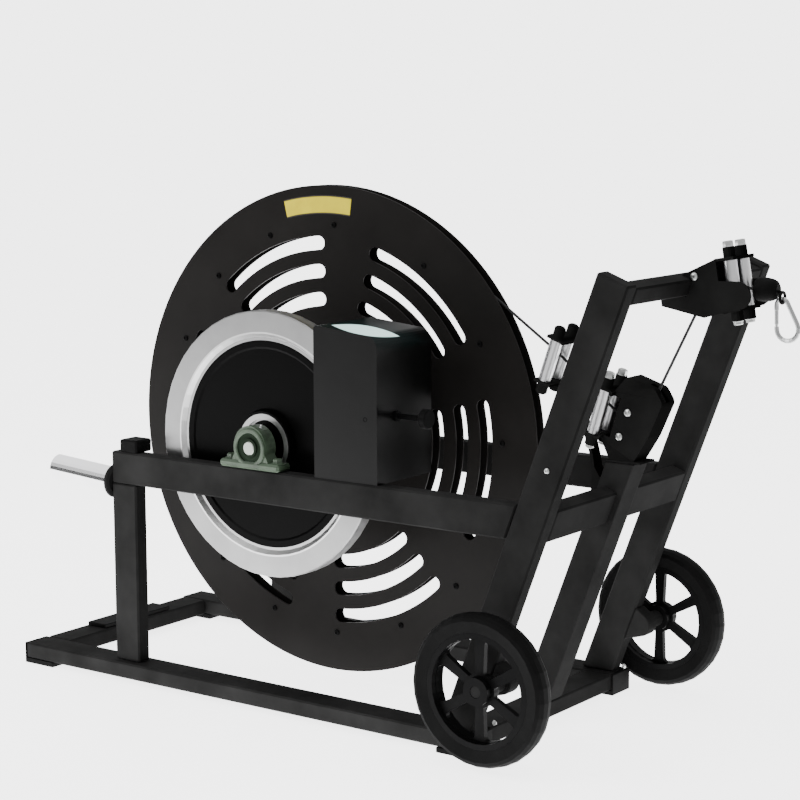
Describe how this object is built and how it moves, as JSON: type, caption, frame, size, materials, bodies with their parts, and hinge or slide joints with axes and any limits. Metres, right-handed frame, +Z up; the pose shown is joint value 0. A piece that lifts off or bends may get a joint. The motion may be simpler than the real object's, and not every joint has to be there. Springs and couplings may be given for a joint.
{
  "type": "sprint resistance trainer",
  "caption": "Floor-standing sprint trainer: rope spool and magnetically braked flywheel on one axle in a black tube frame, with roller guides, pulleys, weight horns and transport wheels.",
  "frame": {"origin": "on the floor, below the middle of the machine's bounding box", "axes": "+X forward, along the rope's way out; +Y to the far side, along the axle; +Z up"},
  "size_m": [1.5094, 0.6376, 0.934],
  "materials": {
    "frame_paint": "black powder coat, semi-matt",
    "chrome_plate": "bright chrome plate",
    "black_rubber": "black rubber, matt",
    "tyre_rubber": "solid black rubber tyre",
    "black_plastic": "black moulded plastic",
    "green_casting": "pale green enamelled casting",
    "machined_steel": "machined steel, fine turning marks",
    "core_paint": "black satin paint",
    "disc_paint": "black satin paint on sheet steel",
    "cover_gloss": "dark glossy paint on sheet steel",
    "magnet_metal": "grey machined aluminium",
    "rope_fibre": "black braided rope"
  },
  "bodies": {
    "frame": {"base_rail_near": "frame_paint", "base_rail_far": "frame_paint", "base_cross_rear": "frame_paint", "base_cross_front": "frame_paint", "cross_pad": "black_rubber", "foot_rear_near": "black_rubber", "foot_rear_far": "black_rubber", "foot_front_near": "black_rubber", "foot_front_far": "black_rubber", "rear_post_near": "frame_paint", "rear_post_far": "frame_paint", "top_rail_near": "frame_paint", "top_rail_far": "frame_paint", "rail_bumper_near": "black_rubber", "rail_bumper_far": "black_rubber", "weight_horn_near": "chrome_plate", "weight_horn_far": "chrome_plate", "front_post_near": "frame_paint", "front_post_far": "frame_paint", "center_post": "frame_paint", "mid_beam_near": "frame_paint", "mid_beam_far": "frame_paint", "top_cross_bar": "frame_paint", "pillow_block_near": "green_casting", "pillow_block_far": "green_casting", "brake_housing": "cover_gloss", "wheel_bracket_near": "frame_paint", "wheel_bracket_far": "frame_paint", "rear_guide_bracket": "frame_paint", "mid_pulley_housing": "frame_paint", "top_pulley_box": "frame_paint", "rope_run": "rope_fibre", "rope_stopper": "black_rubber"},
    "rotor": {"axle_shaft": "machined_steel", "bearing_ring_near": "machined_steel", "bearing_ring_far": "machined_steel", "flywheel_ring": "machined_steel", "flywheel_core": "core_paint", "spool_flange_near": "disc_paint", "spool_flange_far": "disc_paint", "spool_drum": "frame_paint", "spool_hub": "machined_steel", "rope_pack": "rope_fibre", "rope_winding": "rope_fibre"},
    "wheel_near": {"wheel_tyre_near": "tyre_rubber", "wheel_center_near": "black_plastic"},
    "wheel_far": {"wheel_tyre_far": "tyre_rubber", "wheel_center_far": "black_plastic"},
    "rear_roller_near": {"rear_roller_near": "chrome_plate"},
    "rear_roller_far": {"rear_roller_far": "chrome_plate"},
    "mid_roller_near": {"mid_roller_near": "chrome_plate"},
    "mid_roller_far": {"mid_roller_far": "chrome_plate"},
    "top_roller_near": {"top_roller_near": "chrome_plate"},
    "top_roller_far": {"top_roller_far": "chrome_plate"},
    "mid_pulley": {"mid_pulley": "black_plastic"},
    "top_pulley": {"top_pulley": "black_plastic"},
    "magnet_carrier": {"magnet_carrier": "magnet_metal"},
    "brake_knob": {"brake_knob": "black_plastic"},
    "snap_hook": {"hook_body": "machined_steel"},
    "hook_gate": {"hook_gate": "machined_steel"}
  },
  "joints": [
    {"name": "rotor_turn", "type": "hinge", "parent": "frame", "child": "rotor", "pos_m": [-0.18775, 0, 0.478], "axis": [0, 1, 0], "continuous": true},
    {"name": "wheel_near_turn", "type": "hinge", "parent": "frame", "child": "wheel_near", "pos_m": [0.34425, -0.2988, 0.1375], "axis": [0, 1, 0], "continuous": true},
    {"name": "wheel_far_turn", "type": "hinge", "parent": "frame", "child": "wheel_far", "pos_m": [0.34425, 0.2988, 0.1375], "axis": [0, 1, 0], "continuous": true},
    {"name": "rear_roller_near_turn", "type": "hinge", "parent": "frame", "child": "rear_roller_near", "pos_m": [0.30025, -0.0215, 0.648], "axis": [0.3256, 0, 0.9455], "continuous": true},
    {"name": "rear_roller_far_turn", "type": "hinge", "parent": "frame", "child": "rear_roller_far", "pos_m": [0.30025, 0.0215, 0.648], "axis": [0.3256, 0, 0.9455], "continuous": true},
    {"name": "mid_roller_near_turn", "type": "hinge", "parent": "frame", "child": "mid_roller_near", "pos_m": [0.39825, -0.0215, 0.5685], "axis": [0.2907, 0, 0.9568], "continuous": true},
    {"name": "mid_roller_far_turn", "type": "hinge", "parent": "frame", "child": "mid_roller_far", "pos_m": [0.39825, 0.0215, 0.5685], "axis": [0.2907, 0, 0.9568], "continuous": true},
    {"name": "top_roller_near_turn", "type": "hinge", "parent": "frame", "child": "top_roller_near", "pos_m": [0.64475, -0.0215, 0.797], "axis": [-0.1702, 0, 0.9854], "continuous": true},
    {"name": "top_roller_far_turn", "type": "hinge", "parent": "frame", "child": "top_roller_far", "pos_m": [0.64475, 0.0215, 0.797], "axis": [-0.1702, 0, 0.9854], "continuous": true},
    {"name": "mid_pulley_turn", "type": "hinge", "parent": "frame", "child": "mid_pulley", "pos_m": [0.45325, 0, 0.57], "axis": [0, 1, 0], "continuous": true},
    {"name": "top_pulley_turn", "type": "hinge", "parent": "frame", "child": "top_pulley", "pos_m": [0.61125, 0, 0.777], "axis": [0, 1, 0], "continuous": true},
    {"name": "brake_knob_turn", "type": "hinge", "parent": "frame", "child": "brake_knob", "pos_m": [0.14925, -0.1874, 0.554], "axis": [1, 0, 0], "range_deg": [0, 1800]},
    {"name": "magnet_slide", "type": "slide", "parent": "frame", "child": "magnet_carrier", "axis": [-1, 0, 0], "range_m": [0, 0.02]},
    {"name": "hook_swing", "type": "hinge", "parent": "frame", "child": "snap_hook", "pos_m": [0.72175, 0, 0.775], "axis": [1, 0, 0], "range_deg": [-45, 45]},
    {"name": "gate_open", "type": "hinge", "parent": "snap_hook", "child": "hook_gate", "pos_m": [0.71266, 0, 0.7303], "axis": [0, 1, 0], "range_deg": [0, 13], "stiffness_Nm_per_rad": 0.02, "springref_deg": -11.46}
  ],
  "couplings": [
    {"joint": "mid_pulley_turn", "follows": "rotor_turn", "ratio": -17.5},
    {"joint": "top_pulley_turn", "follows": "rotor_turn", "ratio": 17.5},
    {"joint": "brake_knob_turn", "follows": "magnet_slide", "rad_per_m": 1570}
  ]
}
